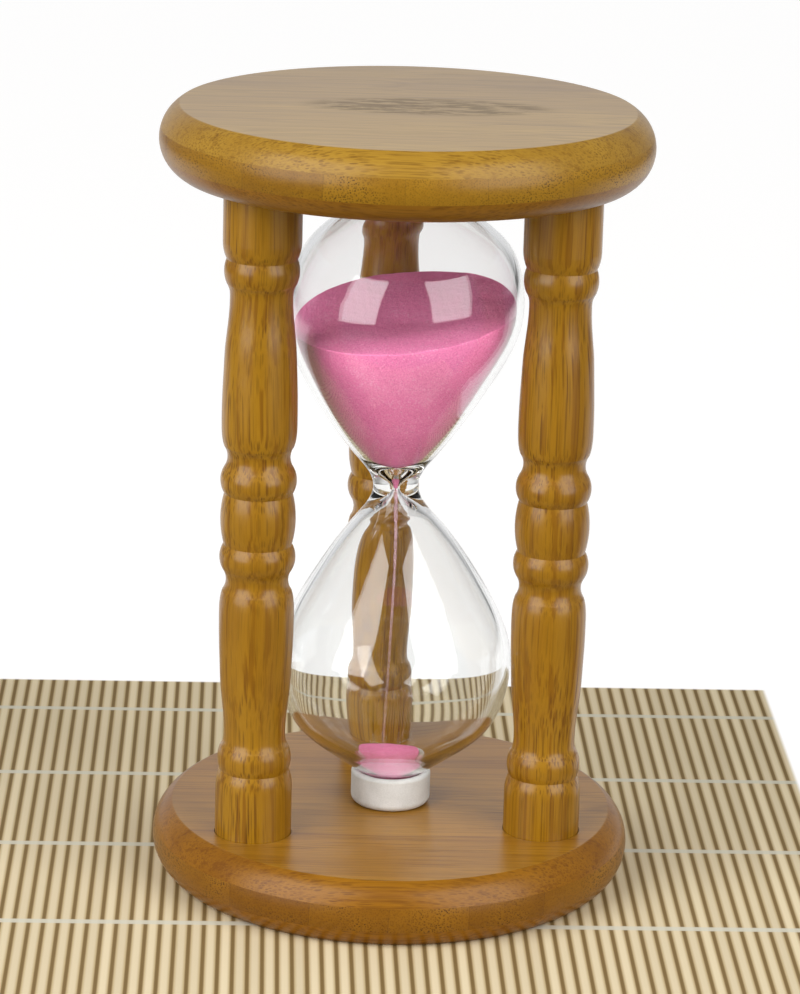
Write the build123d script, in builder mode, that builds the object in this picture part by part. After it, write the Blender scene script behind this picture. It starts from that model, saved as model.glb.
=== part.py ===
from build123d import *
from math import cos, radians, sin, sqrt, tan
import os

# Sand timer: a blown glass with two bulbs between two round bamboo plates on three turned posts.
# Millimetres, +Z up, origin at the middle of the underside.
# Two posts stand at the front (-Y) and one at the back (+Y).

# glass, measured from its waist outwards
bulb_radius = 29.3
bulb_length = 77.7          # waist to the end of a bulb
waist_radius = 5.6
glass_wall = 1.8
end_wall = 3.2              # thick sealed end on the axis
orifice_radius = 0.6
bowl_depth = 5.0            # waist to the floor of the bowl above the orifice
seat_radius = 8.0           # where a bulb meets its ring
seat_rise = 3.2             # from the end of a bulb back to that circle

# rings that the glass sits in
ring_wall = 2.1
ring_round = 0.9
ring_foot_round = 1.9
ring_inset = 0.1            # from the seat circle in to the ring's bore
seat_clearance = 0.2
end_room_below = 5.3        # lower end of the glass to the base
end_room_above = 0.8        # upper end of the glass to the top plate

# posts, turned from round stock
post_radius = 9.45
post_spacing_gap = 2.7      # widest point of the glass to a post
post_chamfer = 0.5
socket_clearance = 0.15
barrel_half = 6.4
barrel_crest_cut = 0.3
barrel_cut = 1.15
bead_width = 6.2
bead_crest_cut = 0.2
bead_shoulder = 0.95
cove_width = 5.7
cove_cut = 1.85
body_crest = 8.2            # from the cove to the widest point of the long body
body_crest_cut = 0.3
body_swell = 0.48           # how far from that point to the foot cove the body starts to thin
body_swell_cut = 0.75
body_foot_cut = 1.9
foot_cove_width = 3.3
foot_bead_width = 6.0
foot_bead_cut = 0.4
foot_groove_cut = 0.95
foot_bead_shoulder = 1.05
foot_shoulder = 4.2         # from the groove to the full radius
plain_end = 12.3            # plain cylinder between the turning and the plate
# how far up the turning of each post is set, as the posts are turned by hand
turning_shifts = {"left_post": 0.0, "right_post": -2.0, "back_post": 0.0}

# plates, each glued up from three plies
lower_ply = 4.7
core_ply = 6.2
upper_ply = 5.6
plate_margin = 9.1          # post to the rim
edge_bulge = 4.8            # how far the rounded edge stands past the flat face
edge_softening = 0.5

# sand
sand_clearance = 0.1
sand_level = 44.4           # waist to the level on the axis
sand_tilt = 10.6            # degrees, higher at the back and the right
sand_tilt_heading = 45.0    # degrees from +X towards +Y
crater_depth = 3.6
stream_radius = 0.4
heap_radius = 7.6
heap_height = 1.3
heap_cone_radius = 30.0     # wider than the glass, so that only the top of the heap is cut

plate_thickness = lower_ply + core_ply + upper_ply
plate_gap = end_room_below + 2 * bulb_length + end_room_above
waist_height = plate_thickness + end_room_below + bulb_length
top_plate_bottom = plate_thickness + plate_gap
post_middle = plate_thickness + plate_gap / 2
post_circle = bulb_radius + post_spacing_gap + post_radius
plate_radius = post_circle + post_radius + plate_margin
flat_radius = plate_radius - edge_bulge
edge_arc = ((plate_thickness / 2) ** 2 + edge_bulge ** 2) / (2 * edge_bulge)
post_angles = {"left_post": 210.0, "right_post": 330.0, "back_post": 90.0}


def upright_plane(x, y, z):
    # plane for outlines drawn as radius against height, with its origin on the turning axis
    return Plane(origin=(x, y, z), x_dir=(1, 0, 0), z_dir=(0, -1, 0))


def post_place(angle):
    return post_circle * cos(radians(angle)), post_circle * sin(radians(angle))


post_places = [post_place(angle) for angle in post_angles.values()]


# Outline of a bulb as (distance from the waist, radius, heading in degrees from the axis).
bulb_reach = bulb_radius - waist_radius
bulb_knots = [
    (0.0, waist_radius, 0.0),
    (0.097 * bulb_length, waist_radius + 0.169 * bulb_reach, 40.5),
    (0.354 * bulb_length, waist_radius + 0.747 * bulb_reach, 29.5),
    (0.575 * bulb_length, bulb_radius, 0.0),
    (0.766 * bulb_length, waist_radius + 0.852 * bulb_reach, -29.0),
    (0.869 * bulb_length, waist_radius + 0.515 * bulb_reach, -53.5),
    (bulb_length - seat_rise, seat_radius, -57.0),
    (bulb_length, 0.0, -90.0),
]


def inside(knot, depth):
    # the same knot, moved into the glass at right angles to the outline
    distance, radius, heading = knot
    return (
        distance + depth * sin(radians(heading)),
        radius - depth * cos(radians(heading)),
        heading,
    )


def knot_line(knots, side):
    # smooth curve through knots, drawn upwards (side 1) or downwards (side -1) from the waist
    points = [(radius, side * distance) for distance, radius, heading in knots]
    tangents = [
        (sin(radians(heading)), side * cos(radians(heading))) for distance, radius, heading in knots
    ]
    return Spline(*points, tangents=tangents)


def cavity_knots(depth):
    # the hollow: a fine orifice, a flared throat, a bowl floor, then the bulb less its wall
    shoulder = inside(bulb_knots[1], depth)
    side_knots = [inside(knot, depth) for knot in bulb_knots[2:-1]]
    skin = depth - glass_wall
    return [
        (0.0, orifice_radius - skin, 0.0),
        (0.6 * bowl_depth, orifice_radius + 0.35 - skin, 14.0),
        (bowl_depth + skin, 0.44 * shoulder[1], 60.0),
        shoulder,
        *side_knots,
        (bulb_length - end_wall - skin, 0.0, -90.0),
    ]


def revolve_knots(knots, side):
    # solid of revolution between the waist and the end of one bulb
    with BuildPart() as turned:
        with BuildSketch(upright_plane(0, 0, waist_height)):
            with BuildLine():
                curve = knot_line(knots, side)
                Polyline(curve @ 1, (0, 0), curve @ 0)
            make_face()
        revolve(axis=Axis.Z)
    return turned.part


# ---- glass ----
def make_bulb(name, side):
    # the glass is blown in one, and its two bulbs are kept apart here at the waist, where they meet
    with BuildPart() as bulb:
        add(revolve_knots(bulb_knots, side))
        add(revolve_knots(cavity_knots(glass_wall), side), mode=Mode.SUBTRACT)
    bulb.part.label = name
    return bulb.part


bulbs = [make_bulb("upper_bulb", 1), make_bulb("lower_bulb", -1)]


# ---- plates ----
def edge_radius(height):
    # radius of the rounded edge at a height above the plate's underside
    from_middle = height - plate_thickness / 2
    return plate_radius - edge_arc + sqrt(edge_arc**2 - from_middle**2)


def make_ply(name, plate_bottom, low, high, sockets):
    with BuildPart() as ply:
        with BuildSketch(upright_plane(0, 0, plate_bottom)):
            with BuildLine():
                bottom, middle, top = [(edge_radius(h), h) for h in (low, (low + high) / 2, high)]
                ThreePointArc(bottom, middle, top)
                Polyline(top, (0, high), (0, low), bottom)
            make_face()
        revolve(axis=Axis.Z)
        if low == 0:
            fillet(ply.edges().group_by(Axis.Z)[0], edge_softening)
        if high == plate_thickness:
            fillet(ply.edges().group_by(Axis.Z)[-1], edge_softening)
        if sockets:
            with BuildSketch(Plane.XY.offset(plate_bottom + low)):
                with Locations(*post_places):
                    Circle(post_radius + socket_clearance)
            extrude(amount=high - low, mode=Mode.SUBTRACT)
    ply.part.label = name
    return ply.part


ply_lines = [0.0, lower_ply, lower_ply + core_ply, plate_thickness]
base_names = ["base_outer_ply", "base_core_ply", "base_inner_ply"]
top_names = ["top_inner_ply", "top_core_ply", "top_outer_ply"]
plies = []
for number in range(3):
    low, high = ply_lines[number], ply_lines[number + 1]
    plies.append(make_ply(base_names[number], 0.0, low, high, number == 2))
    plies.append(make_ply(top_names[number], top_plate_bottom, low, high, number == 0))


# ---- posts ----
def post_outline(side, end):
    # half of the turned outline, from its middle to one end, as radius against height
    def spot(cut, height):
        return post_radius - cut, side * height

    bead_top = barrel_half + bead_width
    cove_top = bead_top + cove_width
    plain_start = plate_gap / 2 - plain_end
    foot_groove = plain_start - foot_shoulder
    foot_bead = foot_groove - foot_bead_width
    foot_cove = foot_bead - foot_cove_width
    crest = cove_top + body_crest
    swell = crest + body_swell * (foot_cove - crest)
    TangentArc(spot(barrel_crest_cut, 0), spot(barrel_cut, barrel_half), tangent=(0, side))
    ThreePointArc(
        spot(barrel_cut, barrel_half),
        spot(bead_crest_cut, barrel_half + bead_width / 2),
        spot(bead_shoulder, bead_top),
    )
    ThreePointArc(
        spot(bead_shoulder, bead_top),
        spot(cove_cut, bead_top + cove_width / 2),
        spot(bead_shoulder, cove_top),
    )
    Spline(
        spot(bead_shoulder, cove_top),
        spot(body_crest_cut, crest),
        spot(body_swell_cut, swell),
        spot(body_foot_cut, foot_cove),
        spot(foot_bead_shoulder, foot_bead),
        tangents=[(0.35, side), (0, side), (-0.035, side), (0, side), (0.8, side)],
    )
    ThreePointArc(
        spot(foot_bead_shoulder, foot_bead),
        spot(foot_bead_cut, foot_bead + foot_bead_width / 2),
        spot(foot_groove_cut, foot_groove),
    )
    TangentArc(
        spot(0, plain_start),
        spot(foot_groove_cut, foot_groove),
        tangent=(0, -side),
    )
    Polyline(
        spot(0, plain_start),
        spot(0, end - post_chamfer),
        spot(post_chamfer, end),
        (0, side * end),
        (0, 0),
        spot(barrel_crest_cut, 0),
    )


def make_post(name, angle):
    x, y = post_place(angle)
    shift = turning_shifts[name]
    with BuildPart() as post:
        with BuildSketch(upright_plane(x, y, post_middle + shift)):
            with BuildLine():
                post_outline(1, plate_gap / 2 + lower_ply - shift)
            make_face()
            with BuildLine():
                post_outline(-1, plate_gap / 2 + upper_ply + shift)
            make_face()
        revolve(axis=Axis((x, y, 0), (0, 0, 1)))
    post.part.label = name
    return post.part


posts = [make_post(name, angle) for name, angle in post_angles.items()]


# ---- rings that seat the glass ----
seat_slope = radians(90 + bulb_knots[-2][2])    # how steeply the glass rises outwards at its seat
ring_inner = seat_radius - ring_inset
lip_radius = ring_inner + ring_round
lip_height = (lip_radius - seat_radius) * tan(seat_slope)
lip_height += ring_round - (ring_round + seat_clearance) / cos(seat_slope)


def make_ring(name, plate_face, side, end_room):
    # side 1 stands on the base, side -1 hangs under the top plate
    height = end_room + seat_rise + lip_height
    with BuildPart() as ring:
        with BuildSketch(Plane.XY.offset(plate_face)):
            Circle(ring_inner + ring_wall)
            Circle(ring_inner, mode=Mode.SUBTRACT)
        extrude(amount=side * height)
        lip_edges = ring.edges().group_by(Axis.Z, reverse=side < 0)[-1]
        fillet(lip_edges, ring_round)
        plate_edges = ring.edges().group_by(Axis.Z, reverse=side < 0)[0]
        fillet(plate_edges.sort_by(SortBy.RADIUS)[-1], ring_foot_round)
    ring.part.label = name
    return ring.part


rings = [
    make_ring("lower_seat_ring", plate_thickness, 1, end_room_below),
    make_ring("upper_seat_ring", top_plate_bottom, -1, end_room_above),
]


# ---- sand ----
sand_skin = glass_wall + sand_clearance
heading = radians(sand_tilt_heading)
slope = tan(radians(sand_tilt))
sand_surface = Plane(
    origin=(0, 0, waist_height + sand_level),
    z_dir=(-slope * cos(heading), -slope * sin(heading), 1),
)
crater_radius = bulb_radius - glass_wall

with BuildPart() as upper_sand:
    add(revolve_knots(cavity_knots(sand_skin), 1))
    split(bisect_by=sand_surface, keep=Keep.BOTTOM)
    with Locations(sand_surface):
        Cone(
            stream_radius,
            crater_radius,
            crater_depth,
            align=(Align.CENTER, Align.CENTER, Align.MAX),
            mode=Mode.SUBTRACT,
        )
upper_sand.part.label = "upper_sand"

floor_distance, floor_radius = inside(bulb_knots[-2], sand_skin)[:2]
heap_edge = waist_height - floor_distance + (heap_radius - floor_radius) * tan(seat_slope)
heap_top = heap_edge + heap_height

with BuildPart() as lower_sand:
    add(revolve_knots(cavity_knots(sand_skin), -1))
    with Locations((0, 0, heap_top)):
        Cone(
            heap_cone_radius,
            0,
            heap_height * heap_cone_radius / heap_radius,
            align=(Align.CENTER, Align.CENTER, Align.MAX),
            mode=Mode.INTERSECT,
        )
lower_sand.part.label = "lower_sand"

with BuildPart() as sand_stream:
    with BuildSketch(Plane.XY.offset(heap_top)):
        Circle(stream_radius)
    extrude(amount=waist_height - heap_top)
sand_stream.part.label = "sand_stream"


# ---- files ----
os.makedirs("parts", exist_ok=True)
pieces = [*bulbs, *plies, *posts, *rings, upper_sand.part, lower_sand.part, sand_stream.part]
for piece in pieces:
    export_step(piece, f"parts/{piece.label}.step")
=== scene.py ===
from math import cos, pi, radians, sin, tan

import bpy
import numpy as np
from mathutils import Matrix, Vector


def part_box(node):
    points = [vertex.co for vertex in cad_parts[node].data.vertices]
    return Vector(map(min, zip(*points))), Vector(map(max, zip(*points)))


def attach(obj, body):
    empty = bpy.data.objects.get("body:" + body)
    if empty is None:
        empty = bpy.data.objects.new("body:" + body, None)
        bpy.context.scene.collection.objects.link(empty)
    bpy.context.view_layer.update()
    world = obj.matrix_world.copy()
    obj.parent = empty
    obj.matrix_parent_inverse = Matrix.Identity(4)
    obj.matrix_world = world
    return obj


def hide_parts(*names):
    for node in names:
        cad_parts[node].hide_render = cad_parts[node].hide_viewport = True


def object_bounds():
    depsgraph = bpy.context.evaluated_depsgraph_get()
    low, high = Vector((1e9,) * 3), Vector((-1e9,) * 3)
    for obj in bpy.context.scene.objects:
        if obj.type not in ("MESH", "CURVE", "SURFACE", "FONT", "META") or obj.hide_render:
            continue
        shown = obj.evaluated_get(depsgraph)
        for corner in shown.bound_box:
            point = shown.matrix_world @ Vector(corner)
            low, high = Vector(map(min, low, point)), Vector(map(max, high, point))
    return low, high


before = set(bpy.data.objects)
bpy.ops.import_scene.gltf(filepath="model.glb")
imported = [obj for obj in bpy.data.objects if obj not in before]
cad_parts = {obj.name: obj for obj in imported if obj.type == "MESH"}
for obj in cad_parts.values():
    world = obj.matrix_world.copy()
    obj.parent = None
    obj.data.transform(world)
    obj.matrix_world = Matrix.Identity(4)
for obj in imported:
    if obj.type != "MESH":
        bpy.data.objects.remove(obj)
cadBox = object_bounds()
mm = 0.001
print("frame loaded")


class Link:  # one shader socket; arithmetic on it adds Math nodes
    def __init__(self, graph, socket):
        self.graph = graph
        self.socket = socket

    def __add__(self, other):
        return self.graph.maths("ADD", self, other)

    def __radd__(self, other):
        return self.graph.maths("ADD", other, self)

    def __sub__(self, other):
        return self.graph.maths("SUBTRACT", self, other)

    def __rsub__(self, other):
        return self.graph.maths("SUBTRACT", other, self)

    def __mul__(self, other):
        return self.graph.maths("MULTIPLY", self, other)

    def __rmul__(self, other):
        return self.graph.maths("MULTIPLY", other, self)

    def __truediv__(self, other):
        return self.graph.maths("DIVIDE", self, other)


class Graph:  # the node tree of one material
    def __init__(self, tree):
        self.tree = tree
        self.tree.nodes.clear()

    def add(self, kind, settings, sockets, output=0):
        node = self.tree.nodes.new(kind)
        for key, value in settings.items():
            if key == "stops":
                self.setStops(node.color_ramp, value)
            else:
                setattr(node, key, value)
        for key, value in sockets.items():
            if isinstance(value, Link):
                self.tree.links.new(value.socket, node.inputs[key])
            else:
                node.inputs[key].default_value = value
        return Link(self, node.outputs[output]) if len(node.outputs) else None

    def setStops(self, ramp, stops):
        while len(ramp.elements) < len(stops):
            ramp.elements.new(0.5)
        for element, (position, colour) in zip(ramp.elements, stops):
            element.position = position
            element.color = (*colour, 1)

    def maths(self, operation, first, second):
        return self.add("ShaderNodeMath", {"operation": operation}, {0: first, 1: second})

    def place(self):  # millimetres in the frame of the whole object
        here = self.add("ShaderNodeTexCoord", {}, {}, "Object")
        return self.add("ShaderNodeVectorMath", {"operation": "SCALE"}, {0: here, "Scale": 1 / mm})

    def turned(self, degrees):  # the same place, in a frame turned about the upright axis
        sockets = {"Vector": self.place(), "Angle": radians(-degrees)}
        return self.add("ShaderNodeVectorRotate", {"rotation_type": "Z_AXIS"}, sockets)

    def floor(self, value):
        return self.add("ShaderNodeMath", {"operation": "FLOOR"}, {0: value})

    def fold(self, value):  # distance to the nearest whole number
        return self.add("ShaderNodeMath", {"operation": "PINGPONG"}, {0: value, 1: 0.5})

    def random(self, vector):
        return self.add("ShaderNodeTexWhiteNoise", {"noise_dimensions": "3D"}, {"Vector": vector}, "Value")

    def length(self, x, y):
        return self.add("ShaderNodeVectorMath", {"operation": "LENGTH"}, {0: self.join(x, y, 0.0)}, "Value")

    def stretch(self, vector, factors):
        return self.add("ShaderNodeVectorMath", {"operation": "MULTIPLY"}, {0: vector, 1: factors})

    def split(self, vector):
        parts = self.add("ShaderNodeSeparateXYZ", {}, {0: vector})
        return [Link(self, socket) for socket in parts.socket.node.outputs]

    def join(self, x, y, z):
        return self.add("ShaderNodeCombineXYZ", {}, {0: x, 1: y, 2: z})

    def squeeze(self, x, y, z, factors):
        return self.join(x * factors[0], y * factors[1], z * factors[2])

    def noise(self, vector, scale, detail=2.0, roughness=0.5, output="Fac"):
        sockets = {"Vector": vector, "Scale": scale, "Detail": detail, "Roughness": roughness}
        return self.add("ShaderNodeTexNoise", {}, sockets, output)

    def cells(self, vector, scale, output="Distance", settings=None):
        return self.add("ShaderNodeTexVoronoi", settings or {}, {"Vector": vector, "Scale": scale}, output)

    def ease(self, value, low, high, start=0.0, end=1.0):
        sockets = {"Value": value, "From Min": low, "From Max": high, "To Min": start, "To Max": end}
        return self.add("ShaderNodeMapRange", {"interpolation_type": "SMOOTHSTEP"}, sockets)

    def ramp(self, value, stops):
        return self.add("ShaderNodeValToRGB", {"stops": stops}, {0: value})

    def blend(self, share, low, high, kind="MIX"):
        low, high = [value if isinstance(value, Link) else (*value, 1) for value in (low, high)]
        settings = {"data_type": "RGBA", "blend_type": kind}
        return self.add("ShaderNodeMix", settings, {0: share, 6: low, 7: high}, 2)

    def bump(self, height, depth):
        return self.add("ShaderNodeBump", {}, {"Height": height, "Distance": depth * mm, "Strength": 1.0})

    def finish(self, surface):
        self.add("ShaderNodeOutputMaterial", {}, {"Surface": surface})


def newMaterial(name):
    material = bpy.data.materials.new(name)
    material.use_nodes = True
    return material, Graph(material.node_tree)


def coat(piece, material):
    piece.data.materials.clear()
    piece.data.materials.append(material)


studio = {
    "cameraPlace": (-0.0889, -0.9339, 0.3701),
    "cameraTurn": -5.465,
    "cameraDip": 16.263,
    "cameraRoll": 1.553,
    "lens": 142.8,
    "backWall": (0.76, 0.76, 0.77),
    "backWallSpread": (0.74, 0.92),
    "sideWall": (0.34, 0.34, 0.34),
    "sideWallSpread": (-0.5, 0.3),
    "room": (0.15, 0.15, 0.15),
    "overhead": (0.24, 0.24, 0.25),
    "overheadSpread": (0.5, 0.85),
    "floorRadius": 3.0,
    "floorCorners": 96,
    "floorRoughness": 0.7,
    "floorSpecular": 0.1,
    # painted shade: off the mat the floor is dark, so that little light bounces up under the object
    "floorPaintedShade": (0.13, 0.12, 0.11),
    # painted light: the floor behind the mat glows white like a brightly lit backdrop, and so also lights
    # the object from behind
    "floorGlow": 0.92,
    "frontEdge": -115,
    "frontBlur": 20,
    "glowEdge": 15,
    "glowBlur": 10,
    "glowHalfWidth": 700,
    "glowSideFade": (0.7, 1.3),
}
mat = {
    "turn": -3.3,
    "farEdge": 138.0,
    "rightEdge": 113.0,
    "slatPitch": 3.55,
    "slat": (0.74, 0.63, 0.42),
    "slatOther": (0.64, 0.54, 0.36),
    # painted shade: the darker colour at the edges of each slat, and the span it fades over, make the flat
    # slats look rounded
    "slatEdgeShade": (0.50, 0.38, 0.20),
    "slatRoundShade": (0.12, 0.38),
    # painted shade: the dark colour in the gaps between the slats, and the width it fades over
    "gapShade": (0.20, 0.13, 0.05),
    "gapShadeFade": (0.07, 0.2),
    "cord": (0.60, 0.60, 0.52),
    "cordShare": 0.7,
    "cordFade": (0.9, 1.5),
    "cordPitch": 52.0,
    "cordShift": 9.0,
    "edgeBlur": 1.5,
}
softboxes = {
    "leftSoftbox": {"turn": -54, "rise": 27, "distance": 0.85, "size": (0.70, 0.90), "power": 8.9},
    "rightSoftbox": {"turn": 40, "rise": 27, "distance": 0.85, "size": (0.66, 0.90), "power": 7.2},
}


def addCamera():
    data = bpy.data.cameras.new("camera")
    data.lens = studio["lens"]
    camera = bpy.data.objects.new("camera", data)
    turn = Matrix.Rotation(radians(studio["cameraTurn"]), 4, "Z")
    dip = Matrix.Rotation(radians(90 - studio["cameraDip"]), 4, "X")
    roll = Matrix.Rotation(radians(studio["cameraRoll"]), 4, "Z")
    camera.matrix_world = Matrix.Translation(studio["cameraPlace"]) @ turn @ dip @ roll
    bpy.context.scene.collection.objects.link(camera)
    bpy.context.scene.camera = camera


def addSoftbox(name, look):
    data = bpy.data.lights.new(name, "AREA")
    data.shape = "RECTANGLE"
    data.size, data.size_y = look["size"]
    data.energy = look["power"]
    light = bpy.data.objects.new(name, data)
    turn, rise = radians(look["turn"]), radians(look["rise"])
    away = Vector((sin(turn) * cos(rise), -cos(turn) * cos(rise), sin(rise)))
    middle = (cadBox[0] + cadBox[1]) / 2
    light.location = middle + away * look["distance"]
    light.rotation_mode = "QUATERNION"
    light.rotation_quaternion = away.to_track_quat("Z", "Y")
    bpy.context.scene.collection.objects.link(light)


def addWorld():
    world = bpy.data.worlds.new("studio")
    world.use_nodes = True
    bpy.context.scene.world = world
    graph = Graph(world.node_tree)
    direction = graph.add("ShaderNodeTexCoord", {}, {}, "Generated")
    ahead, rise = graph.split(direction)[1:]
    back = graph.ease(ahead, *studio["backWallSpread"])
    colour = graph.blend(graph.ease(ahead, *studio["sideWallSpread"]), studio["room"], studio["sideWall"])
    colour = graph.blend(back, colour, studio["backWall"])
    colour = graph.blend(graph.ease(rise, *studio["overheadSpread"]), colour, studio["overhead"])
    light = graph.add("ShaderNodeBackground", {}, {"Color": colour, "Strength": 1.0})
    graph.add("ShaderNodeOutputWorld", {}, {"Surface": light})
    bpy.context.scene.view_settings.view_transform = "Standard"


def addFloor():
    steps = studio["floorCorners"]
    radius = studio["floorRadius"]
    rim = [(radius * cos(2 * pi * i / steps), radius * sin(2 * pi * i / steps), 0) for i in range(steps)]
    mesh = bpy.data.meshes.new("floor")
    mesh.from_pydata(rim, [], [range(steps)])
    floor = bpy.data.objects.new("floor", mesh)
    bpy.context.scene.collection.objects.link(floor)
    material, graph = newMaterial("slatMat")
    aside, ahead = graph.split(graph.turned(mat["turn"]))[:2]
    slats = aside / mat["slatPitch"]
    cords = (ahead - mat["cordShift"]) / mat["cordPitch"]
    tone = graph.random(graph.join(graph.floor(slats), 0.0, 0.0))
    # painted shade: a mask of the dark gaps between the slats
    gapShade = 1 - graph.ease(graph.fold(slats), *mat["gapShadeFade"])
    cord = 1 - graph.ease(graph.fold(cords) * mat["cordPitch"], *mat["cordFade"])
    colour = graph.blend(tone, mat["slat"], mat["slatOther"])
    # painted shade: each slat darkens towards its edges, as if it were rounded
    colour = graph.blend(graph.ease(graph.fold(slats), *mat["slatRoundShade"]), mat["slatEdgeShade"], colour)
    colour = graph.blend(gapShade * (1 - cord), colour, mat["gapShade"])
    colour = graph.blend(cord * mat["cordShare"], colour, mat["cord"])
    # off the mat, in front of it, right of it and behind it, the floor gets the painted shade colour
    onMat = graph.ease(mat["farEdge"] - ahead, 0, mat["edgeBlur"])
    onMat = onMat * graph.ease(mat["rightEdge"] - aside, 0, mat["edgeBlur"])
    onMat = onMat * graph.ease(ahead, studio["frontEdge"] - studio["frontBlur"], studio["frontEdge"])
    width = graph.add("ShaderNodeMath", {"operation": "ABSOLUTE"}, {0: aside})
    # painted light: the floor glows behind the mat, fading towards the sides
    glow = graph.ease(ahead, studio["glowEdge"], studio["glowEdge"] + studio["glowBlur"]) * (1 - onMat)
    glow = glow * (1 - graph.ease(width / studio["glowHalfWidth"], *studio["glowSideFade"]))
    sockets = {
        "Base Color": graph.blend(onMat, studio["floorPaintedShade"], colour),
        "Roughness": studio["floorRoughness"],
        "Emission Color": graph.blend(glow, (0, 0, 0), (1, 1, 1)),
        "Emission Strength": studio["floorGlow"],
        "Specular IOR Level": studio["floorSpecular"],
    }
    graph.finish(graph.add("ShaderNodeBsdfPrincipled", {}, sockets))
    coat(floor, material)


addCamera()
addWorld()
addFloor()
for name, look in softboxes.items():
    addSoftbox(name, look)
print("camera, light and floor made")


bambooLooks = {
    "plateBamboo": {
        "fibreAxis": "x",
        "heading": -5.4,
        "stripWidth": 21.0,
        "stripDepth": 40.0,
        "pale": (0.43, 0.250, 0.030),
        "deep": (0.25, 0.122, 0.009),
        "bundle": (0.11, 0.042, 0.002),
        "bundlePitch": 0.62,
        "bundleShare": 0.7,
        "thinnest": 0.6,
        "streaks": 0.35,
        "fibres": 0.7,
        "seam": 0.12,
        "coat": 1.0,
        "coatRoughness": 0.3,
        "shift": (3.0, 0.0, 0.0),
    },
    "coreBamboo": {
        "fibreAxis": "x",
        "heading": 84.6,
        "stripWidth": 19.0,
        "stripDepth": 40.0,
        "pale": (0.33, 0.170, 0.010),
        "deep": (0.18, 0.075, 0.002),
        "bundle": (0.05, 0.018, 0.001),
        "bundlePitch": 0.56,
        "bundleShare": 1.0,
        "thinnest": 0.4,
        "streaks": 0.1,
        "fibres": 0.4,
        "seam": 0.25,
        "coat": 0.7,
        "coatRoughness": 0.32,
        "shift": (0.0, 7.0, 0.0),
    },
    "postBamboo": {
        "fibreAxis": "z",
        "heading": 20.0,
        "stripWidth": 16.0,
        "stripDepth": 60.0,
        "pale": (0.37, 0.190, 0.009),
        "deep": (0.22, 0.092, 0.003),
        "bundle": (0.07, 0.020, 0.001),
        "bundlePitch": 0.64,
        "bundleShare": 0.8,
        "thinnest": 0.4,
        "streaks": 0.65,
        "fibres": 0.45,
        "seam": 0.5,
        "coat": 0.85,
        "coatRoughness": 0.26,
        "shift": (4.0, 2.0, 0.0),
    },
}
bambooGrain = {  # scales run across, into and along the fibres
    "wanderScale": (0.03, 0.03, 0.022),
    "wander": 3.0,
    "seamFade": (0.04, 0.14),
    "bundleSize": 0.26,
    "bundleExtra": 0.16,
    "bundleFade": (0.5, 1.2),
    "bundleFaintest": 0.4,
    "patchScale": (0.09, 0.09, 0.02),
    "patchFade": (0.38, 0.62),
    "breakScale": (0.9, 0.9, 0.12),
    "breakFade": (0.25, 0.6),
    "breakLeft": 0.3,
    "fibreScale": (4.2, 4.2, 0.12),
    "streakScale": (0.75, 0.75, 0.012),
    "streakFade": (0.5, 0.68),
    "cloudScale": (0.09, 0.09, 0.018),
    "cloudShare": 0.7,
    "stripShare": 0.35,
    "toneDrop": 0.03,
    "deepTone": 0.1,
    "paleTone": 0.8,
    "bumpDepth": 0.03,
    "roughness": 0.34,
    "specular": 0.05,
    "coatIor": 1.41,
}
tints = {
    "base": (0.88, 0.72, 0.45),
    "baseCore": (0.80, 0.66, 0.45),
    "underTop": (0.78, 0.64, 0.45),
}
rim = {  # the rounded edge, which is darker than the flat
    "start": 55.2,
    "blur": 0.3,
    "top": (0.80, 0.76, 0.66),
    # on the base the rim is darker still: partly its own colour, partly painted shade
    "base": (0.74, 0.64, 0.32),
    "under": (0.80, 0.72, 0.50),
    "coat": 0.6,
}
nodeMark = {  # darker joint of the culm across the middle of the top
    "middle": (5.0, 0.0),
    "halfSize": (32.0, 12.0),
    "colour": (0.17, 0.095, 0.008),
    "fade": (0.7, 1.05),
    "tearScale": (0.5, 0.12),
    "tearFade": (0.4, 0.56),
    "tearLeft": 0.15,
    "share": 1.0,
    "dull": 0.42,
}


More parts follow.
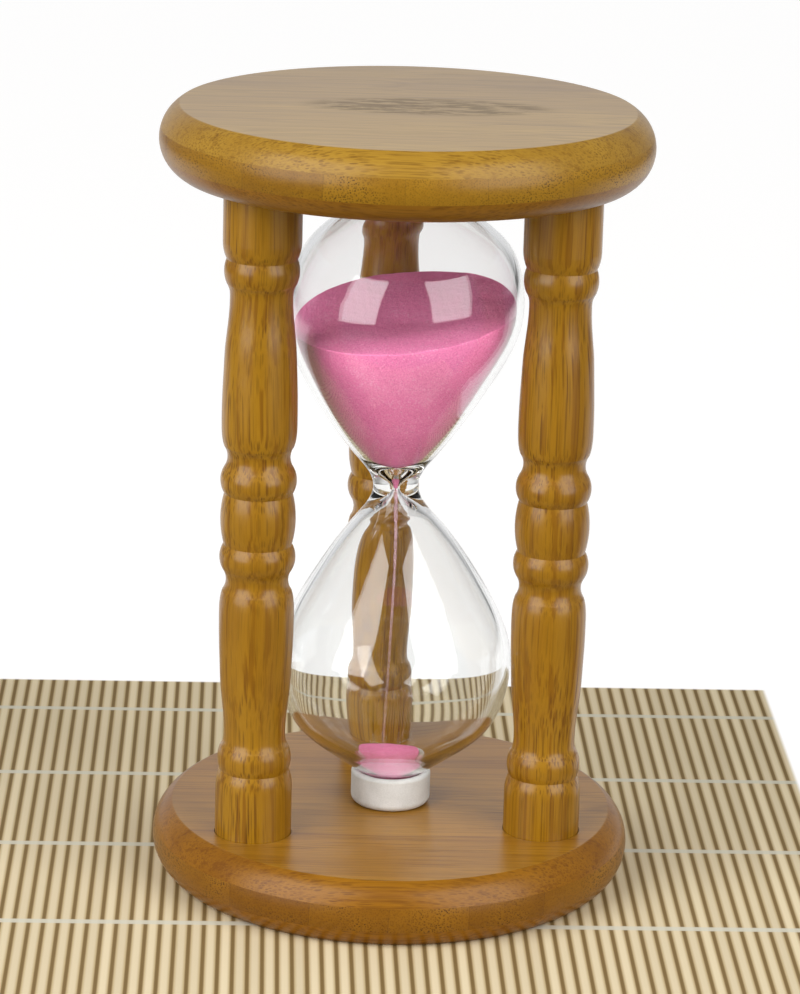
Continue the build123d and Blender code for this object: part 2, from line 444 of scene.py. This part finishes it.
def makeBamboo(name, look, rimmed=None, mark=None):
    grain = bambooGrain
    material, graph = newMaterial(name)
    turned = graph.turned(look["heading"])
    x, y, z = graph.split(turned)
    across, depth, along = (y, z, x) if look["fibreAxis"] == "x" else (x, y, z)

    # fibres wander a little from side to side
    slow = graph.squeeze(across, depth, along, grain["wanderScale"])
    wander = graph.split(graph.noise(slow, 1.0, 1.0, output="Color"))
    across = across + look["shift"][0] + (wander[0] - 0.5) * grain["wander"]
    depth = depth + look["shift"][1] + (wander[1] - 0.5) * grain["wander"]

    # strips that the board is glued up from
    stripX = across / look["stripWidth"]
    stripY = depth / look["stripDepth"]
    stripTone = graph.random(graph.join(graph.floor(stripX), graph.floor(stripY), 3.0))
    edgeX = graph.fold(stripX) * look["stripWidth"]
    edgeY = graph.fold(stripY) * look["stripDepth"]
    seam = 1 - graph.ease(graph.maths("MINIMUM", edgeX, edgeY), *grain["seamFade"])

    # vessel bundles: dots across the fibres, streaks along them
    crossSection = graph.join(across, depth, 0.0)
    pitch = 1 / look["bundlePitch"]
    flat = {"voronoi_dimensions": "2D"}
    distance = graph.cells(crossSection, pitch, "Distance", flat)
    random = graph.split(graph.cells(crossSection, pitch, "Color", flat))
    size = grain["bundleSize"] + random[0] * grain["bundleExtra"]
    bundle = 1 - graph.ease(distance / size, *grain["bundleFade"])
    patchy = graph.noise(graph.squeeze(across, depth, along, grain["patchScale"]), 1.0, 2.0)
    broken = graph.noise(graph.squeeze(across, depth, along, grain["breakScale"]), 1.0, 2.0)
    bundle = bundle * (grain["bundleFaintest"] + random[1] * (1 - grain["bundleFaintest"]))
    bundle = bundle * graph.ease(patchy, *grain["patchFade"], look["thinnest"], 1.0)
    bundle = bundle * graph.ease(broken, *grain["breakFade"], grain["breakLeft"], 1.0)

    # fine fibre, streaks and slow change of tone
    fibre = graph.noise(graph.squeeze(across, depth, along, grain["fibreScale"]), 1.0, 3.0, 0.6)
    streak = graph.noise(graph.squeeze(across, depth, along, grain["streakScale"]), 1.0, 3.0, 0.6)
    cloud = graph.noise(graph.squeeze(across, depth, along, grain["cloudScale"]), 1.0, 3.0, 0.55)
    tone = cloud * grain["cloudShare"] + stripTone * grain["stripShare"]
    tone = tone + (fibre - 0.5) * look["fibres"] - grain["toneDrop"]
    tone = tone - graph.ease(streak, *grain["streakFade"]) * look["streaks"]
    colour = graph.ramp(tone, [(grain["deepTone"], look["deep"]), (grain["paleTone"], look["pale"])])
    varnish = look["coat"]
    if rimmed:
        onRim = graph.ease(graph.length(x, y), rim["start"] - rim["blur"], rim["start"] + rim["blur"])
        colour = graph.blend(onRim, colour, graph.blend(1.0, colour, rimmed, "MULTIPLY"))
        varnish = varnish - onRim * (varnish - rim["coat"])
    if mark:
        nearX = (x - mark["middle"][0]) / mark["halfSize"][0]
        nearY = (y - mark["middle"][1]) / mark["halfSize"][1]
        reach = graph.length(nearX, nearY)
        wide, long = mark["tearScale"]
        torn = graph.noise(graph.join(across * wide, depth, along * long), 1.0, 4.0, 0.65)
        dark = 1 - graph.ease(reach, *mark["fade"])
        dark = dark * graph.ease(torn, *mark["tearFade"], mark["tearLeft"], 1.0)
        varnish = varnish - dark * mark["dull"]
        colour = graph.blend(dark * mark["share"], colour, mark["colour"])
    colour = graph.blend(bundle * look["bundleShare"], colour, look["bundle"])
    colour = graph.blend(seam * look["seam"], colour, look["bundle"])

    height = fibre * 0.35 - bundle * 0.8 - seam * 0.9
    sockets = {
        "Base Color": colour,
        "Roughness": grain["roughness"] + fibre * 0.16 + bundle * 0.15,
        "Specular IOR Level": grain["specular"],
        "Normal": graph.bump(height, grain["bumpDepth"]),
        "Coat Weight": varnish,
        "Coat Roughness": look["coatRoughness"],
        "Coat IOR": grain["coatIor"],
    }
    graph.finish(graph.add("ShaderNodeBsdfPrincipled", {}, sockets))
    return material


def tinted(look, tint):
    colours = {key: tuple(np.multiply(look[key], tint)) for key in ("pale", "deep", "bundle")}
    return {**look, **colours}


plate, core = bambooLooks["plateBamboo"], bambooLooks["coreBamboo"]
bamboo = {
    "top_outer_ply": makeBamboo("markedPlateBamboo", plate, rim["top"], nodeMark),
    "top_core_ply": makeBamboo("coreBamboo", core),
    "top_inner_ply": makeBamboo("plateBamboo", tinted(plate, tints["underTop"]), rim["under"]),
    "base_core_ply": makeBamboo("baseCoreBamboo", tinted(core, tints["baseCore"])),
    "base_inner_ply": makeBamboo("baseBamboo", tinted(plate, tints["base"]), rim["base"]),
    "left_post": makeBamboo("postBamboo", bambooLooks["postBamboo"]),
}
bamboo["base_outer_ply"] = bamboo["base_inner_ply"]
bamboo["right_post"] = bamboo["back_post"] = bamboo["left_post"]
for node, material in bamboo.items():
    coat(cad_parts[node], material)
print("bamboo made")


ringLook = {
    "grainScale": 2.6,
    "soilScale": 0.25,
    "soilShare": 0.6,
    "soiled": (0.60, 0.59, 0.56),
    "clean": (0.72, 0.71, 0.685),
    "roughness": 0.62,
    "specular": 0.35,
    "bumpDepth": 0.09,
}


def makeRubber():
    material, graph = newMaterial("whiteRubber")
    place = graph.place()
    grain = graph.noise(place, ringLook["grainScale"], 4.0, 0.65)
    soil = graph.noise(place, ringLook["soilScale"], 3.0, 0.6)
    tone = soil * ringLook["soilShare"] + grain * (1 - ringLook["soilShare"])
    colour = graph.ramp(tone, [(0.3, ringLook["soiled"]), (0.6, ringLook["clean"])])
    sockets = {
        "Base Color": colour,
        "Roughness": ringLook["roughness"] + grain * 0.2,
        "Normal": graph.bump(grain, ringLook["bumpDepth"]),
        "Specular IOR Level": ringLook["specular"],
    }
    graph.finish(graph.add("ShaderNodeBsdfPrincipled", {}, sockets))
    return material


rubber = makeRubber()
for node in ("lower_seat_ring", "upper_seat_ring"):
    coat(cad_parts[node], rubber)
print("rings made")


glassLook = {
    "colour": (0.985, 0.992, 0.988, 1),
    "ior": 1.5,
    "shadowTint": (0.93, 0.94, 0.94, 1),
    "segments": 168,
    "rows": 30,
    "outer": [
        (0.0, 5.6, 0.0), (7.54, 9.61, 40.5), (27.51, 23.3, 29.5), (44.68, 29.3, 0.0),
        (59.52, 25.79, -29.0), (67.52, 17.81, -53.5), (74.5, 8.0, -57.0), (77.7, 0.0, -90.0),
    ],
    "cavity": [
        (0.0, 0.6, 0.0), (1.3, 0.85, 24.0), (4.4, 3.2, 52.0), (8.71, 8.24, 42.0), (28.39, 21.74, 29.5),
        (44.68, 27.5, 0.0), (58.65, 24.22, -29.0), (66.07, 16.73, -53.5), (72.99, 7.02, -57.0),
        (74.5, 0.0, -90.0),
    ],
    "lean": [(-18, 0.0), (0, -0.7), (14, -1.1), (30, -0.8), (46, 0.5), (62, 1.1), (73, 0.1), (78, 0.0)],
    "leanTurn": -5.4,
    "leanReach": 7,
    "leanSamples": 15,
}
glassNodes = [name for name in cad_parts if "bulb" in name]
glassBoxes = [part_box(name) for name in glassNodes]
waist = (min(box[0].z for box in glassBoxes) + max(box[1].z for box in glassBoxes)) / 2 / mm


def smoothCurve(knots, steps):
    # cubic through (distance from the waist, radius, heading in degrees from the axis)
    points = []
    for (s0, r0, a0), (s1, r1, a1) in zip(knots, knots[1:]):
        chord = np.hypot(s1 - s0, r1 - r0)
        for step in range(steps):
            t = step / steps
            h = (2 * t**3 - 3 * t**2 + 1, t**3 - 2 * t**2 + t, 3 * t**2 - 2 * t**3, t**3 - t**2)
            s = h[0] * s0 + h[1] * chord * cos(radians(a0)) + h[2] * s1 + h[3] * chord * cos(radians(a1))
            r = h[0] * r0 + h[1] * chord * sin(radians(a0)) + h[2] * r1 + h[3] * chord * sin(radians(a1))
            points.append((s, r))
    points.append(knots[-1][:2])
    return np.array(points)


def lean(s):
    # sideways offset of the axis of the glass, which is a little crooked as blown glass is
    places, shifts = np.array(glassLook["lean"]).T
    return np.interp(s, places, shifts)


def smoothLean(s):
    # running mean of the straight pieces between the lean's points
    reach, samples = glassLook["leanReach"], glassLook["leanSamples"]
    return np.mean([lean(s + offset) for offset in np.linspace(-reach, reach, samples)], axis=0)


def bothWays(curve):
    mirrored = curve[:0:-1] * (-1, 1)
    return np.concatenate([mirrored, curve])


def ringGrid(radius, height, segments):
    # radius and height are arrays of rows, or of rows by segments; returns points in millimetres
    angle = np.linspace(0, 2 * pi, segments, endpoint=False)
    if radius.ndim == 1:
        radius, height = [np.repeat(values[:, None], segments, 1) for values in (radius, height)]
    points = np.stack([radius * np.cos(angle), radius * np.sin(angle), height], axis=-1)
    shift = smoothLean(points[..., 2] - waist)
    points[..., 0] += shift * cos(radians(glassLook["leanTurn"]))
    points[..., 1] += shift * sin(radians(glassLook["leanTurn"]))
    return points


def gridFaces(rows, segments, start=0, inward=False):
    row, column = np.meshgrid(np.arange(rows - 1), np.arange(segments), indexing="ij")
    after = (column + 1) % segments
    faces = np.stack([row * segments + column, row * segments + after,
                      (row + 1) * segments + after, (row + 1) * segments + column], axis=-1).reshape(-1, 4)
    if inward:
        faces = faces[:, ::-1]
    return (faces + start).tolist()


def capFaces(ring, centre, inward):
    # fan that closes a ring of point numbers on one point
    pairs = zip(ring, ring[1:] + ring[:1])
    return [(b, a, centre) if inward else (a, b, centre) for a, b in pairs]


def closedGrid(points, start=0, inward=False):
    # rows of rings whose first and last row are collapsed to one point each
    rows, segments = points.shape[:2]
    inner = points[1:-1].reshape(-1, 3)
    corners = [*inner.tolist(), points[0].mean(0).tolist(), points[-1].mean(0).tolist()]
    faces = gridFaces(rows - 2, segments, start, inward)
    first, last = start + len(inner), start + len(inner) + 1
    faces += capFaces(list(range(start, start + segments)), first, not inward)
    faces += capFaces(list(range(start + len(inner) - segments, start + len(inner))), last, inward)
    return corners, faces


def meshPiece(name, corners, faces):
    mesh = bpy.data.meshes.new(name)
    mesh.from_pydata([tuple(mm * part for part in corner) for corner in corners], [], faces)
    mesh.polygons.foreach_set("use_smooth", [True] * len(mesh.polygons))
    mesh.update()
    piece = bpy.data.objects.new(name, mesh)
    bpy.context.scene.collection.objects.link(piece)
    return piece


def makeGlassMaterial():
    material, graph = newMaterial("clearGlass")
    sockets = {
        "Base Color": glassLook["colour"],
        "Roughness": 0.0,
        "IOR": glassLook["ior"],
        "Transmission Weight": 1.0,
    }
    glass = graph.add("ShaderNodeBsdfPrincipled", {}, sockets)
    clear = graph.add("ShaderNodeBsdfTransparent", {}, {"Color": glassLook["shadowTint"]})
    shadow = graph.add("ShaderNodeLightPath", {}, {}, "Is Shadow Ray")
    graph.finish(graph.add("ShaderNodeMixShader", {}, {0: shadow, 1: glass, 2: clear}))
    return material


def makeGlass():
    outer = bothWays(smoothCurve(glassLook["outer"], glassLook["rows"]))
    cavity = bothWays(smoothCurve(glassLook["cavity"], glassLook["rows"]))
    segments = glassLook["segments"]
    corners, faces = closedGrid(ringGrid(outer[:, 1], outer[:, 0] + waist, segments))
    inside = ringGrid(cavity[:, 1], cavity[:, 0] + waist, segments)
    moreCorners, moreFaces = closedGrid(inside, len(corners), True)
    piece = meshPiece("blownGlass", corners + moreCorners, faces + moreFaces)
    coat(piece, makeGlassMaterial())
    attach(piece, "glass")
    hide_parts(*glassNodes)


makeGlass()
print("glass made")


sandLook = {
    "clearance": 0.1,
    "grip": 0.05,  # how far the heap presses into the glass, so that no air film hides it
    "segments": 420,
    "level": 44.4,
    "tilt": 10.6,
    "tiltHeading": 45.0,
    "craterDepth": 3.6,
    "craterRadius": 27.5,
    "heapRadius": 7.6,
    "heapHeight": 1.3,
    "heapCrown": 0.8,
    "heapFall": 0.6,
    "heapTilt": 4.0,
    "heapNod": 2.0,
    "upperRows": (120, 170),
    "heapRows": (40, 70),
    "outlineRows": 60,
    "grit": 0.05,
    "gritSpacing": 0.3,
    "rippleWaves": 9,
    "longRipple": (9.0, 1.5),
    "shortRipple": (2.2, 0.8),
    "seed": 7,
    "deep": (0.69, 0.140, 0.31),
    "main": (0.84, 0.218, 0.43),
    "pale": (0.92, 0.48, 0.68),
    # painted highlight: the pale colour given to a few random grains for their glints
    "paintedGlint": (1.0, 0.80, 0.88),
    "paintedGlintShare": 0.22,
    "glintFade": (0.94, 0.99),
    "grain": 0.27,
    "cloudScale": 0.12,
    "grainShare": 0.55,
    "roughness": 0.75,
    "specular": 0.4,
    "bumpDepth": 0.08,
}
streamLook = {
    "radius": 0.36,
    "body": 0.9,
    "mouth": 0.9,
    "mouthFade": 12,
    "uneven": 0.25,
    "drift": -2.4,
    "bend": 1.5,
    "rows": 160,
    "segments": 16,
    "colour": (0.90, 0.60, 0.70),
    "clumpStretch": (1, 1, 0.35),
    "clumpScale": 3.0,
    "clumpFade": (0.35, 0.65),
    "opacity": (0.08, 0.42),
    "thinFrom": 4,
    "thinTo": 62,
    "thinnest": 0.25,
}
draw = np.random.default_rng(sandLook["seed"])


def makeSandMaterial(name, main, deep, pale, clear=False):
    material, graph = newMaterial(name)
    place = graph.place()
    pitch = 1 / sandLook["grain"]
    random = graph.split(graph.cells(place, pitch, "Color"))
    distance = graph.cells(place, pitch, "Distance")
    cloud = graph.noise(place, sandLook["cloudScale"], 3.0, 0.6)
    tone = random[0] * sandLook["grainShare"] + cloud * (1 - sandLook["grainShare"])
    colour = graph.ramp(tone, [(0.15, deep), (0.45, main), (0.72, main), (0.95, pale)])
    # painted highlight: a few random grains are painted pale for glints; the same grains are also made
    # glossier
    paintedGlint = graph.ease(random[1], *sandLook["glintFade"])
    colour = graph.blend(paintedGlint * sandLook["paintedGlintShare"], colour, sandLook["paintedGlint"])
    height = random[2] * 0.6 - distance
    sockets = {
        "Base Color": colour,
        "Roughness": sandLook["roughness"] - paintedGlint * 0.5,
        "Normal": graph.bump(height, sandLook["bumpDepth"]),
        "Specular IOR Level": sandLook["specular"],
    }
    if clear:
        stretched = graph.stretch(place, streamLook["clumpStretch"])
        clumps = graph.noise(stretched, streamLook["clumpScale"], 2.0)
        height = graph.split(place)[2]
        low, high = waist - streamLook["thinTo"], waist - streamLook["thinFrom"]
        thin = graph.ease(height, low, high, streamLook["thinnest"], 1.0)
        sockets["Alpha"] = graph.ease(clumps, *streamLook["clumpFade"], *streamLook["opacity"]) * thin
    graph.finish(graph.add("ShaderNodeBsdfPrincipled", {}, sockets))
    return material


def ripples(x, y, count, size, height):
    # soft unevenness, the sum of a few waves in drawn directions
    total = np.zeros_like(x)
    for wave in range(count):
        turn, phase = draw.uniform(0, 2 * pi, 2)
        length = size * draw.uniform(0.6, 1.6)
        total += np.sin((x * cos(turn) + y * sin(turn)) * 2 * pi / length + phase)
    return total * height / count**0.5


def upperSurface(x, y):
    heading = radians(sandLook["tiltHeading"])
    slope = tan(radians(sandLook["tilt"]))
    share = np.hypot(x, y) / sandLook["craterRadius"]
    level = waist + sandLook["level"] + slope * (x * cos(heading) + y * sin(heading))
    return level - sandLook["craterDepth"] * (1 - share * (1.5 - 0.5 * share**2))


def lowerSurface(x, y):
    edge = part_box("lower_sand")[1].z / mm - sandLook["heapHeight"]
    share = np.hypot(x, y) / sandLook["heapRadius"]
    tilt = y * tan(radians(sandLook["heapNod"])) - x * tan(radians(sandLook["heapTilt"]))
    return edge + sandLook["heapHeight"] * (sandLook["heapCrown"] - sandLook["heapFall"] * share**2) + tilt


def fillBulb(name, surface, curve, sideRows, topRows):
    # sand that fills the hollow from the first point of curve up to the surface
    segments, grit, waves = sandLook["segments"], sandLook["grit"], sandLook["rippleWaves"]
    angle = np.linspace(0, 2 * pi, segments, endpoint=False)
    heights, radii = curve[:, 0] + waist, curve[:, 1]
    run = np.concatenate([[0], np.cumsum(np.hypot(np.diff(heights), np.diff(radii)))])
    x, y = radii[:, None] * np.cos(angle), radii[:, None] * np.sin(angle)
    above = heights[:, None] - surface(x, y)
    after = np.argmax(above > 0, axis=0)
    low = np.take_along_axis(above, after[None] - 1, 0)[0]
    high = np.take_along_axis(above, after[None], 0)[0]
    reach = run[after - 1] + (run[after] - run[after - 1]) * low / (low - high)
    share = np.linspace(0, 1, sideRows)[:, None]
    sideRun = share * reach[None]
    sideRadius, sideHeight = np.interp(sideRun, run, radii), np.interp(sideRun, run, heights)
    inward = 1 - np.linspace(0, 1, topRows + 1)[1:, None]
    topRadius = inward * sideRadius[-1][None]
    x, y = topRadius * np.cos(angle), topRadius * np.sin(angle)
    topHeight = surface(x, y)
    for size, depth in (sandLook["longRipple"], sandLook["shortRipple"]):
        topHeight = topHeight + ripples(x, y, waves, size, grit * depth)
    spacing = np.minimum(1, topRadius * 2 * pi / segments / sandLook["gritSpacing"])
    topHeight += draw.normal(0, grit, topHeight.shape) * spacing * np.minimum(1, (1 - inward) * 30)
    radius = np.concatenate([sideRadius, topRadius])
    height = np.concatenate([sideHeight, topHeight])
    return meshPiece(name, *closedGrid(ringGrid(radius, height, segments)))


def cavityInset(clearance):
    # outline of the hollow, moved in by a clearance
    curve = smoothCurve(glassLook["cavity"], sandLook["outlineRows"])
    slope = np.gradient(curve, axis=0)
    slope /= np.hypot(slope[:, 0], slope[:, 1])[:, None]
    inset = curve + np.stack([slope[:, 1], -slope[:, 0]], axis=1) * clearance
    inset[:, 1] = np.maximum(inset[:, 1], 0)
    return inset


def makeSand():
    main = makeSandMaterial("pinkSand", sandLook["main"], sandLook["deep"], sandLook["pale"])
    curve = np.concatenate([[(0.0, 0.0)], cavityInset(sandLook["clearance"])])
    upper = fillBulb("upperSand", upperSurface, curve, *sandLook["upperRows"])
    curve = (cavityInset(-sandLook["grip"]) * (-1, 1))[::-1]
    lower = fillBulb("sandHeap", lowerSurface, curve, *sandLook["heapRows"])
    steps = np.linspace(0, 1, streamLook["rows"])
    flare = streamLook["body"] + streamLook["mouth"] * np.exp(-streamLook["mouthFade"] * steps)
    radius = streamLook["radius"] * flare
    radius *= draw.uniform(1 - streamLook["uneven"], 1 + streamLook["uneven"], len(steps))
    radius[[0, -1]] = 0
    top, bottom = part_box("sand_stream")[1].z / mm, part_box("sand_stream")[0].z / mm
    points = ringGrid(radius, top + (bottom - top) * steps, streamLook["segments"])
    points[..., 0] += (streamLook["drift"] * steps**streamLook["bend"])[:, None]
    stream = meshPiece("fallingSand", *closedGrid(points, inward=True))
    colour = streamLook["colour"]
    falling = makeSandMaterial("fallingSand", colour, sandLook["pale"], colour, True)
    for piece, node, material in (
        (upper, "upper_sand", main), (lower, "lower_sand", main), (stream, "sand_stream", falling)
    ):
        coat(piece, material)
        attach(piece, "glass")
        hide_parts(node)


makeSand()
print("sand made")
